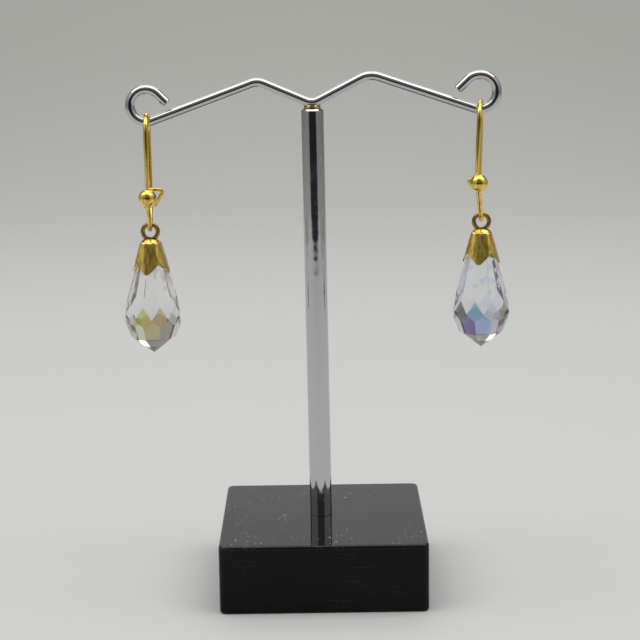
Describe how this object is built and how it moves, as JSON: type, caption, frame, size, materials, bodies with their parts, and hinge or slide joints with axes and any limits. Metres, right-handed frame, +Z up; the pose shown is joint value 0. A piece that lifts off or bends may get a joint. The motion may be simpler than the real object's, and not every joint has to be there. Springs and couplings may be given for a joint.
{
  "type": "pair of crystal drop earrings on a display stand",
  "caption": "Hook earrings, each with a ball, a petalled metal cap and a faceted teardrop crystal, hanging from the bent wire arm of a small stand with a post and a square base.",
  "frame": {"origin": "centre of the base block's underside, on the surface that the stand rests on", "axes": "+Z up along the post, +X to the viewer's right along the arm wire, -Y towards the viewer"},
  "size_m": [0.0654, 0.035, 0.0884],
  "materials": {
    "black_block": "polished black acrylic with fine scratches and dust",
    "chrome": "bright chrome plate on steel, with a gold-coloured braze at the post's top",
    "gold": "polished gold-coloured plate",
    "crystal": "clear cut glass with an iridescent coating on its facets"
  },
  "bodies": {
    "stand": {"stand_base": "black_block", "stand_frame": "chrome", "left_ear_hook": "gold", "right_ear_hook": "gold"},
    "left_drop": {"left_drop_cap": "gold", "left_crystal": "crystal"},
    "right_drop": {"right_drop_cap": "gold", "right_crystal": "crystal"}
  },
  "joints": [
    {"name": "left_drop_swing", "type": "hinge", "parent": "stand", "child": "left_drop", "pos_m": [-0.0286, 0, 0.06236], "axis": [0, 1, 0], "range_deg": [-90, 90]},
    {"name": "right_drop_swing", "type": "hinge", "parent": "stand", "child": "right_drop", "pos_m": [0.02744, 0, 0.06331], "axis": [0, 1, 0], "range_deg": [-90, 90]}
  ]
}
